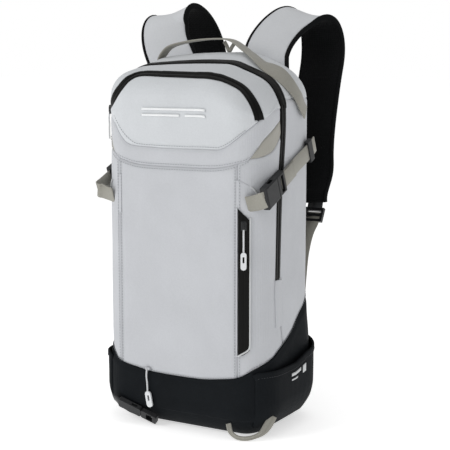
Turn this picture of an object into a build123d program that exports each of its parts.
from build123d import *
import math
import os

# A 24-litre ski backpack, front towards -Y, wearer's back at +Y, +Z up.
# The origin is the middle of the flat underside. All lengths are millimetres.

# Main bag
BAG_WIDTH = 280.0
BAG_DEPTH = 186.0
BAG_HEIGHT = 570.0
CORNER_RADIUS = 48.0
TOP_RADIUS = 40.0
BOTTOM_RADIUS = 44.0
TOP_SLOPE_DEG = 12.0
FABRIC = 3.0
PANEL_HALF_WIDTH = 104.0
PANEL_TOP_Z = 414.0
GAP = 0.6

# Black base
BASE_HALF_WIDTH = 142.0
BASE_REAR_Y = 108.0
BASE_STRAIGHT_Z = 112.0
BASE_BLEND_Z = 205.0
POCKET_STANDOFF = 9.0

# Zips
COIL_ZIP_WIDTH = 12.0
MAIN_ZIP_LOW = (-38.0, 165.0)
MAIN_ZIP_LID = (-27.0, 471.0)
MAIN_ZIP_HIGH = (-22.0, 525.0)
MAIN_ZIP_TOP = (-4.0, 566.0)
SIDE_ZIP_Z = (129.0, 338.0)
SIDE_ZIP_ARC_DEG = (15.0, 34.0)

# Webbing and buckles
WEBBING = 25.0
WEBBING_THICK = 1.6
STRAP_RISE_DEG = 23.0
STRAP_START = (146.5, -92.0, 361.0)
BUCKLE_SLIDE = {"right": 0.0, "left": 38.0}

# Shoulder straps: centre line points (x, y, z) and section. Both flop towards -X at the top.
STRAP_LINES = {
    "right": [
        (56, 99, 505), (46, 103, 542), (38, 114, 577), (44, 158, 615), (61, 196, 636),
        (80, 224, 622), (88, 228, 578), (91, 200, 518), (95, 170, 440), (99, 160, 385),
        (104, 166, 330),
    ],
    "left": [
        (-104, 99, 505), (-122, 102, 545), (-148, 107, 588), (-158, 122, 624), (-150, 146, 638),
        (-143, 178, 622), (-137, 204, 590), (-130, 214, 545), (-118, 206, 440), (-104, 166, 330),
    ],
}
STRAP_WIDTH = 74.0
STRAP_THICK = 11.0

# Pull cords, and the tags at the front zips and at the base
CORD = 2.6
SIDE_SLIDER_Z = 322.0
SIDE_TAG = (26.0, 8.5, 2.6)
MAIN_TAG = (20.0, 8.5, 2.6)
BASE_TAG = (25.0, 10.0, 2.8)
BASE_PULL_X = -52.0

# Handle over the top, tool loop under the front, and the lower shoulder webbing
HANDLE_Y = 62.0
HANDLE_WIDTH = 22.0
HANDLE_THICK = 2.4
HANDLE_HALF = [(50, 597), (98, 585), (131, 567), (145, 539), (145, 500)]
TOOL_LOOP_LINE = [
    (88, -92, 24), (95, -94, 10), (108, -92, 4.6), (124, -84, 5), (137, -71, 12), (146, -57, 32),
]
LADDER_AT = (104.0, 161.0, 310.0)
LADDER_TILT_DEG = -29.0
LOWER_LINE = [
    (104, 152, 298), (104, 132, 280), (103, 119, 250), (101, 115, 210), (99, 112.5, 165),
]

Y_FRONT = -BAG_DEPTH / 2
Y_BACK = BAG_DEPTH / 2
HALF_WIDTH = BAG_WIDTH / 2
FAR = 400.0
SIDES = {"right": 1, "left": -1}

parts = {}


def keep(name, *solids):
    """Store one node, as one solid or a group of separate ones."""
    flat = []
    for item in solids:
        flat += list(item.solids())
    parts[name] = flat[0] if len(flat) == 1 else Compound(children=flat)


def mirror_x(solid, sign):
    """The right-hand solid as it is, or its copy on the left side."""
    return solid if sign > 0 else solid.mirror(Plane.YZ)


def plan_block(half_width, y_front, y_back, radius, z_low, z_high):
    """An upright block with rounded vertical corners."""
    width = 2 * half_width
    depth = y_back - y_front
    sketch = Pos(0, (y_front + y_back) / 2, z_low) * RectangleRounded(width, depth, radius)
    return extrude(sketch, z_high - z_low)


def side_prism(points, x_low=-FAR, x_high=FAR):
    """A prism along X from an outline of (y, z) points."""
    outline = Polyline(*[(x_low, y, z) for y, z in points], close=True)
    return extrude(make_face(outline), x_high - x_low, dir=(1, 0, 0))


def box_between(low, high):
    """An axis-aligned box from its two corners."""
    size = [b - a for a, b in zip(low, high)]
    middle = [(a + b) / 2 for a, b in zip(low, high)]
    return Pos(*middle) * Box(*size)


def bag_body(inset):
    """The whole bag inflated, drawn inwards by inset (outwards if negative)."""
    block = plan_block(
        HALF_WIDTH - inset, Y_FRONT + inset, Y_BACK - inset, CORNER_RADIUS - inset, inset, 640
    )
    slope = math.radians(TOP_SLOPE_DEG)
    top_z = BAG_HEIGHT - inset / math.cos(slope)
    cut = Pos(0, 60, top_z) * Rot(TOP_SLOPE_DEG, 0, 0) * Pos(0, 0, FAR / 2) * Box(900, 900, FAR)
    block = (block - cut).solid()
    top = block.faces().sort_by(Axis.Z)[-1]
    block = fillet(top.edges(), TOP_RADIUS - inset).solid()
    bottom = block.faces().sort_by(Axis.Z)[0]
    return fillet(bottom.edges(), BOTTOM_RADIUS - inset).solid()


def base_body(inset):
    """The wider black foot of the bag, which tapers into the bag above."""
    half = BASE_HALF_WIDTH - inset
    front = Y_FRONT - 0.5 + inset
    rear = BASE_REAR_Y - inset
    foot = plan_block(half, front, rear, CORNER_RADIUS - inset, inset, BASE_STRAIGHT_Z)
    foot = fillet(foot.faces().sort_by(Axis.Z)[0].edges(), BOTTOM_RADIUS - inset).solid()
    low = Pos(0, (front + rear) / 2, BASE_STRAIGHT_Z) * RectangleRounded(
        2 * half, rear - front, CORNER_RADIUS - inset
    )
    high = Pos(0, 0, BASE_BLEND_Z) * RectangleRounded(
        BAG_WIDTH - 2 * inset + 1, BAG_DEPTH - 2 * inset + 1, CORNER_RADIUS - inset
    )
    taper = loft([low.face(), high.face()], ruled=True)
    return (foot + taper).solid()


def zip_line(offset, low=True):
    """The (y, z) points of the main zip's middle, moved along Y by offset."""
    points = [MAIN_ZIP_LOW] if low else []
    points += [MAIN_ZIP_LID, MAIN_ZIP_HIGH, MAIN_ZIP_TOP]
    return [(y + offset, z) for y, z in points] + [(MAIN_ZIP_TOP[0] + offset, 700)]


outer = bag_body(0)
shell = outer - bag_body(FABRIC)

# ---- outlines seen from the side, as (y, z) ----
boundary = [(-140, 92), (-85, 95), (-50, 113), (-12, 140), (25, 167), (69, 200), (93, 208), (140, 208)]
lid_edge = [(-140, PANEL_TOP_Z), (-88, PANEL_TOP_Z), (-58, 422), (MAIN_ZIP_LID[0] + 20, 500)]
pocket_edge = [(-140, 432), (-88, 434), (-50, 482), (MAIN_ZIP_LID[0] + 20, 535)]

above_boundary = side_prism(boundary + [(140, 700), (-140, 700)])
below_boundary = side_prism(boundary + [(140, -10), (-140, -10)])
lid_space = side_prism(lid_edge + [(MAIN_ZIP_LID[0] + 20, 700), (-140, 700)])
pocket_space = side_prism(pocket_edge + [(MAIN_ZIP_LID[0] + 20, 700), (-140, 700)])
half = COIL_ZIP_WIDTH / 2
before_zip = side_prism(zip_line(-half) + [(-140, 700), (-140, MAIN_ZIP_LOW[1])])
behind_zip = side_prism(zip_line(half) + [(140, 700), (140, MAIN_ZIP_LOW[1])])
zip_front = side_prism(zip_line(-half) + zip_line(-GAP / 2)[::-1])
zip_rear = side_prism(zip_line(GAP / 2) + zip_line(half)[::-1])
before_seam = side_prism([(-140, -10), MAIN_ZIP_LOW[:1] + (-10,), MAIN_ZIP_LOW, (-140, MAIN_ZIP_LOW[1])])
behind_seam = side_prism([(140, -10), MAIN_ZIP_LOW[:1] + (-10,), MAIN_ZIP_LOW, (140, MAIN_ZIP_LOW[1])])
front_space = before_zip + before_seam
rear_space = behind_zip + behind_seam

# ---- grey body panels, cut from one shell along the seams ----
body = shell & above_boundary
lid_gap = Pos(0, 0, -GAP) * lid_space
front_half = (body & front_space) - lid_gap
rear_half = body & rear_space
centre = box_between((-PANEL_HALF_WIDTH, -140, 0), (PANEL_HALF_WIDTH, 0, 700))
back_edge_y = Y_BACK - CORNER_RADIUS * 0.45
back_space = box_between((-FAR, back_edge_y, 0), (FAR, FAR, 530))
crown_space = box_between((-FAR, -140, 530), (FAR, FAR, 700))

arc_middle = (HALF_WIDTH - CORNER_RADIUS, Y_FRONT + CORNER_RADIUS)
rays = [math.radians(a) for a in SIDE_ZIP_ARC_DEG]
tips = [(arc_middle[0] + 90 * math.sin(a), arc_middle[1] - 90 * math.cos(a)) for a in rays]
wedge = make_face(Polyline(arc_middle, *tips, close=True))
wedge = Pos(0, 0, SIDE_ZIP_Z[0]) * extrude(wedge, SIDE_ZIP_Z[1] - SIDE_ZIP_Z[0])

keep("front_panel", (front_half & centre) - wedge)
keep("crown_panel", rear_half & crown_space)
keep("back_panel", (rear_half & back_space) - crown_space)
for side, sign in SIDES.items():
    flank = box_between((0, -FAR, 0), (FAR, FAR, 700))
    flank = mirror_x(flank, sign)
    keep(f"side_panel_front_{side}", ((front_half - centre) & flank) - wedge)
    keep(f"side_panel_rear_{side}", ((rear_half & flank) - back_space) - crown_space)
keep("side_zip", (outer - bag_body(2.0)) & wedge)

# ---- lid: goggle pocket, band and top, in front of the main zip ----
lid_shell = (body & before_zip) & lid_space
goggle_zip_y = -54.0
top_space = box_between((-FAR, goggle_zip_y, 474), (FAR, FAR, 700))
zip_strip = box_between((-FAR, goggle_zip_y - 9, 474), (FAR, goggle_zip_y, 700))
keep("lid_band", lid_shell - pocket_space)
keep("goggle_pocket", ((lid_shell & pocket_space) - top_space) - zip_strip)
keep("goggle_zip", lid_shell & pocket_space & zip_strip)
keep("lid_top", lid_shell & pocket_space & top_space)
lid_lining = (bag_body(FABRIC + 0.3) - bag_body(FABRIC + 2.3)) & before_zip & lid_space
keep("lid_lining", lid_lining & box_between((-125, -140, 420), (125, -30, 553)))

# ---- main zip: tapes on the lid, on the side panels and on the rear half ----
keep("main_zip_lid_tape", body & zip_front & lid_space)
keep("main_zip_side_tapes", (body & zip_front) - lid_gap)
keep("main_zip_rear_tape", body & zip_rear)

# ---- black base with its two side pockets ----
base_solid = base_body(0) & below_boundary
base_shell = base_solid - base_body(FABRIC)
pocket_hem = [(-78, 104), (84, 122)]
pocket_region = side_prism([(-78, 34), *pocket_hem, (84, 34)], 100, FAR)
pocket_inner = side_prism([(-74, 38), (-74, 140), (80, 140), (80, 38)], 100, FAR)
keep("base", base_shell)
grown = plan_block(
    BASE_HALF_WIDTH + POCKET_STANDOFF, Y_FRONT - 8, BASE_REAR_Y + 6, CORNER_RADIUS + 4, 0, 200
)
grown_inner = plan_block(
    BASE_HALF_WIDTH + POCKET_STANDOFF - 2.2, Y_FRONT - 6, BASE_REAR_Y + 4, CORNER_RADIUS + 2, 0, 200
)
pocket_wall = (grown & pocket_region) - base_body(0) - (grown_inner & pocket_inner)
for side, sign in SIDES.items():
    keep(f"side_pocket_{side}", mirror_x(pocket_wall.solids().sort_by(SortBy.VOLUME)[-1], sign))

# ---- inside: frame sheet, aluminium stay and a divider sleeve ----
inner_y = Y_BACK - FABRIC
keep("frame_sheet", box_between((-91, inner_y - 2.4, 62), (91, inner_y - 0.6, 500)))
stay = box_between((-12, inner_y - 5.8, 70), (12, inner_y - 2.6, 490))
keep("frame_stay", fillet(stay.edges().filter_by(Axis.Y), 11.9))
sleeve = box_between((-90, inner_y - 22, 62), (90, inner_y - 6.4, 430))
sleeve_hollow = box_between((-88.5, inner_y - 20.5, 63.5), (88.5, inner_y - 7.9, 440))
keep("inner_sleeve", sleeve - sleeve_hollow)

# ---- padded back panel ----
pad_y = Y_BACK + 0.5
pads = []
for low, high, width in [(70, 195, 84), (210, 345, 96), (360, 486, 104)]:
    pad = Pos(0, pad_y + 8, (low + high) / 2) * Box(2 * width, 16, high - low)
    pads.append(fillet(pad.edges().filter_by(Axis.Y), 22))
lumbar_front = BASE_REAR_Y + 0.5
pads[0] = Pos(0, lumbar_front - pad_y, 0) * pads[0]
keep("lumbar_pad", pads[0] & box_between((-200, 0, 70), (200, 200, 195)))
keep("back_pads", pads[1], pads[2])

# ---- side compression straps ----
strap_dirs = (0, math.cos(math.radians(STRAP_RISE_DEG)), math.sin(math.radians(STRAP_RISE_DEG)))
strap_plane = Plane(origin=STRAP_START, x_dir=strap_dirs, z_dir=(1, 0, 0))


def strap_block(s_low, s_high, t_half, n_low, n_high):
    """A block in the strap's own directions: along it, across it, outwards."""
    middle = Pos((s_low + s_high) / 2, 0, (n_low + n_high) / 2)
    return strap_plane.location * middle * Box(s_high - s_low, 2 * t_half, n_high - n_low)


tab_outline = [(-96, 330), (-96, 388), (-74, 380), (-62, 354)]
tab = (bag_body(-2.4) - bag_body(-0.3)) & side_prism(tab_outline, PANEL_HALF_WIDTH - 4, FAR)
web = WEBBING_THICK / 2
SOCKET = (3.0, 39.0)
PLUG = (39.6, 63.0)
ARM_FRONT = 14.0
STRAP_END = 182.0


def buckle_socket():
    """The female half: a flat case, open at the rear and at both sides."""
    case = strap_block(*SOCKET, 17, -5.5, 5.5)
    case = fillet(case.edges().group_by(Axis.X)[-1], 2.0).solid()
    case -= strap_block(SOCKET[0] + 9, SOCKET[1] + 1, 14, -3.4, 3.4)
    return (case - strap_block(19, 31, 18, -2.6, 2.6)).solid()


def buckle_plug():
    """The male half: a frame with a webbing bar, two spring arms and a guide."""
    frame = strap_block(*PLUG, 16.5, -5.0, 5.0)
    frame = fillet(frame.edges().group_by(Axis.X)[-1], 2.0).solid()
    frame -= strap_block(PLUG[0] + 8, PLUG[1] - 6, 13, -6, 6)
    arm = Box(PLUG[0] - ARM_FRONT + 2, 5.2, 4.4)
    arm_middle = (PLUG[0] + ARM_FRONT + 2) / 2
    for across in (-10.8, 10.8):
        frame += strap_plane.location * Pos(arm_middle, across, 0) * arm
    return (frame + strap_block(17, PLUG[0] + 2, 2.2, -1.6, 1.6)).solid()


glide = strap_block(152, 166, 17, -3.4, 3.4)
glide = fillet(glide.edges().group_by(Axis.X)[-1], 1.2).solid()
glide = (glide - strap_block(151, 167, 13.4, -1.9, 1.9)).solid()
anchor_region = side_prism([(62, 408), (62, 452), (92, 452), (92, 408)], 100, FAR)
anchor = ((bag_body(-1.9) - bag_body(-0.3)) & anchor_region).solid()
strap_fronts = []
for side, sign in SIDES.items():
    slide = BUCKLE_SLIDE[side]
    shift = Pos(*[slide * c for c in strap_dirs])
    keep(f"buckle_socket_{side}", mirror_x(shift * buckle_socket(), sign))
    keep(f"buckle_plug_{side}", mirror_x(shift * buckle_plug(), sign))
    rear = strap_block(PLUG[1] + 0.4 + slide, STRAP_END, WEBBING / 2, -web, web)
    keep(f"strap_rear_{side}", mirror_x(rear, sign))
    front = strap_block(-9, SOCKET[0] - 0.4 + slide, WEBBING / 2, -web, web)
    strap_fronts.append(mirror_x(front, sign))
tab = tab.solid()
keep("strap_tabs", tab, tab.mirror(Plane.YZ))
keep("strap_fronts", *strap_fronts)
keep("strap_glides", glide, glide.mirror(Plane.YZ))
keep("strap_anchors", anchor, anchor.mirror(Plane.YZ))

# ---- zip sliders with their pull cords and tags ----

def slider(plane):
    """A slider body on the zip, with its bridge, in a plane whose X runs along the zip."""
    made = plane.location * (Pos(0, 0, 2.4) * Box(14, 8.4, 3.6))
    made = fillet(made.edges(), 1.2).solid()
    bridge = plane.location * (Pos(0, 0, 5.2) * Box(8, 2.2, 2.6))
    return (made + bridge).solid()


def bend_radii(points):
    """The largest radius that each corner's two runs leave room for."""
    corners = [Vector(*p) for p in points]
    radii = []
    for a, b, c in zip(corners, corners[1:], corners[2:]):
        turn = math.radians((b - a).get_angle(c - b))
        shorter = min((b - a).length, (c - b).length)
        radii.append(0.45 * shorter / math.tan(turn / 2))
    return radii


def tube(points, diameter):
    """A cord: straight runs joined by tangent arcs, with radii set by the runs."""
    radii = bend_radii(points)
    path = FilletPolyline(*points, radius=radii)
    ahead = Vector(*points[1]) - Vector(*points[0])
    section = Plane(origin=points[0], z_dir=ahead) * Circle(diameter / 2)
    print("cord length", round(path.length, 1), "radii", [round(r, 1) for r in radii])
    return sweep(section, path=path)


def tag(plane, length, width, thick):
    """A flat moulded grip, hanging down its plane's -X from the plane's origin."""
    made = plane.location * (Pos(-length / 2, 0, 0) * Box(length, width, thick))
    made = fillet(made.edges().filter_by(Axis(plane.origin, plane.z_dir)), width / 2 - 0.2)
    slot = plane.location * (Pos(-length * 0.42, 0, 0) * Box(length * 0.34, width * 0.34, 9))
    return (made - slot).solid()


# Side pocket zip: the slider rides down the rounded front right corner
zip_angle = math.radians(sum(SIDE_ZIP_ARC_DEG) / 2)
zip_normal = (math.sin(zip_angle), -math.cos(zip_angle), 0)


def on_corner(z, stand):
    """A point on the side zip's middle line, stand off the fabric."""
    reach = CORNER_RADIUS + stand
    return (arc_middle[0] + reach * zip_normal[0], arc_middle[1] + reach * zip_normal[1], z)


side_plane = Plane(origin=on_corner(SIDE_SLIDER_Z, 0), x_dir=(0, 0, 1), z_dir=zip_normal)
side_route = [(5.2, 5.4), (7.4, 13), (5.4, 25), (6.0, 38)]
side_cord = [on_corner(SIDE_SLIDER_Z - down, out) for out, down in side_route]
side_tag = Plane(origin=on_corner(SIDE_SLIDER_Z - 38.3, 6), x_dir=(0, 0, 1), z_dir=zip_normal)
keep("side_slider", slider(side_plane))
keep("side_pull_cord", tube(side_cord, CORD))
keep("side_pull_tag", tag(side_tag, *SIDE_TAG))

# Main zip: both sliders are parked at the lower end of the left leg
zip_lean = math.atan2(MAIN_ZIP_LID[0] - MAIN_ZIP_LOW[0], MAIN_ZIP_LID[1] - MAIN_ZIP_LOW[1])
main_dir = (0, math.sin(zip_lean), math.cos(zip_lean))
main_at = (-HALF_WIDTH, MAIN_ZIP_LOW[0] + 0.5, MAIN_ZIP_LOW[1] + 14)
main_plane = Plane(origin=main_at, x_dir=main_dir, z_dir=(-1, 0, 0))
main_route = [(5.2, 5.4), (7.6, 13), (5.6, 24), (6.2, 36)]
main_cord = [(-HALF_WIDTH - out, main_at[1], main_at[2] - down) for out, down in main_route]
main_tag = Plane(origin=Vector(*main_cord[-1]) - (0, 0, 0.3), x_dir=(0, 0, 1), z_dir=(-1, 0, 0))
keep("main_slider", slider(main_plane))
keep("main_pull_cord", tube(main_cord, CORD))
keep("main_pull_tag", tag(main_tag, *MAIN_TAG))

# Goggle pocket zip: the slider is parked at the left end
goggle_at = (-HALF_WIDTH + 0.9, goggle_zip_y - 4.5, 484)
goggle_route = [(5.2, 5.4), (7.4, 12), (5.8, 22), (6.8, 34), (6.0, 46)]
goggle_cord = [(goggle_at[0] - out, goggle_at[1], goggle_at[2] - down) for out, down in goggle_route]
goggle_plane = Plane(origin=goggle_at, x_dir=(0, 0, 1), z_dir=(-1, 0, 0))
keep("goggle_slider", slider(goggle_plane))
keep("goggle_pull_cord", tube(goggle_cord, CORD))

# Front bottom pull, of the pocket hidden under the front panel's lower edge
base_route = [(0, -99.2, 90), (-0.6, -100.6, 81), (1, -99.8, 69), (1, -99.4, 56)]
base_cord = [(BASE_PULL_X + x, y, z) for x, y, z in base_route]
base_tag_at = Vector(*base_cord[-1]) - (0, 0, 0.5)
base_tag = Plane(origin=base_tag_at, x_dir=(-0.2, 0, 0.98), z_dir=(0, -1, 0))
keep("base_pull_cord", tube(base_cord, CORD))
keep("base_pull_tag", tag(base_tag, *BASE_TAG))
pull_anchor = Pos(BASE_PULL_X, -96.6, 93.5) * Box(12, 5.0, 6)
keep("base_pull_anchor", fillet(pull_anchor.edges().filter_by(Axis.Y), 2))

# ---- handle, loops and harness ----


def webbing_path(points, width_dir, width, thick):
    """Webbing along a smooth run of points, its width in one fixed direction."""
    path = FilletPolyline(*points, radius=bend_radii(points))
    start = Vector(*points[0])
    ahead = Vector(*points[1]) - start
    section = Plane(origin=start, x_dir=width_dir, z_dir=ahead) * Rectangle(width, thick)
    return sweep(section, path=path)


handle_line = [(-x, HANDLE_Y, z) for x, z in HANDLE_HALF[::-1]]
handle_line += [(x, HANDLE_Y, z) for x, z in HANDLE_HALF]
keep("grab_handle", webbing_path(handle_line, (0, 1, 0), HANDLE_WIDTH, HANDLE_THICK))
ring = Cylinder(9, 2, rotation=(90, 0, 0)) - Cylinder(6.5, 4, rotation=(90, 0, 0))
keep("hang_loop", Pos(0, HANDLE_Y, 586.5) * ring)
keep("tool_loop", webbing_path(TOOL_LOOP_LINE, (0, 0, 1), 7, 2.2))

# The stowed waist strap's closed buckle, under the base's front left edge
buckle_from = Vector(-105, -100, 33)
buckle_to = Vector(-40, -91, 9.5)
along = (buckle_to - buckle_from).normalized()
outward = Vector(0, -0.84, -0.54)
outward = (outward - along * outward.dot(along)).normalized()
waist_plane = Plane(origin=buckle_from, x_dir=along, z_dir=outward)


def waist_block(s_low, s_high, t_half, n_half):
    """A block in the waist buckle's own directions."""
    middle = waist_plane.location * Pos((s_low + s_high) / 2, 0, 0)
    return middle * Box(s_high - s_low, 2 * t_half, 2 * n_half)


waist_socket = waist_block(2, 42, 9, 3.6)
waist_socket = fillet(waist_socket.edges().filter_by(Axis(waist_plane.origin, waist_plane.z_dir)), 3)
waist_socket = waist_socket - waist_block(12, 43, 6.8, 2.2) - waist_block(24, 34, 10, 1.6)
waist_plug = waist_block(42.6, 70, 8.6, 3.4)
waist_plug = fillet(waist_plug.edges().filter_by(Axis(waist_plane.origin, waist_plane.z_dir)), 3)
waist_plug = waist_plug - waist_block(52, 63, 6.6, 5) + waist_block(16, 44, 1.2, 1.2)
for across in (-4.9, 4.9):
    waist_plug += waist_plane.location * Pos(30, across, 0) * Box(28, 2.6, 3.0)
keep("waist_buckle_socket", waist_socket.solid())
keep("waist_buckle_plug", waist_plug.solid())
keep("waist_strap", waist_block(-12, 1.6, 7.5, 0.8))

for side in SIDES:
    strap = webbing_path(STRAP_LINES[side], (1, 0, 0), STRAP_WIDTH, STRAP_THICK)
    keep(f"shoulder_strap_{side}", strap)

lock = Box(33, 6, 24) - Pos(0, 0, -5.5) * Box(25, 8, 5) - Pos(0, 0, 4) * Box(25, 8, 5)
lock = (Pos(*LADDER_AT) * Rot(LADDER_TILT_DEG, 0, 0) * lock).solid()
lower = webbing_path(LOWER_LINE, (1, 0, 0), WEBBING, WEBBING_THICK).solid()
keep("ladder_locks", lock, lock.mirror(Plane.YZ))
keep("lower_webbings", lower, lower.mirror(Plane.YZ))

os.makedirs("parts", exist_ok=True)
for name, solid in parts.items():
    solid.label = name
    export_step(solid, f"parts/{name}.step")
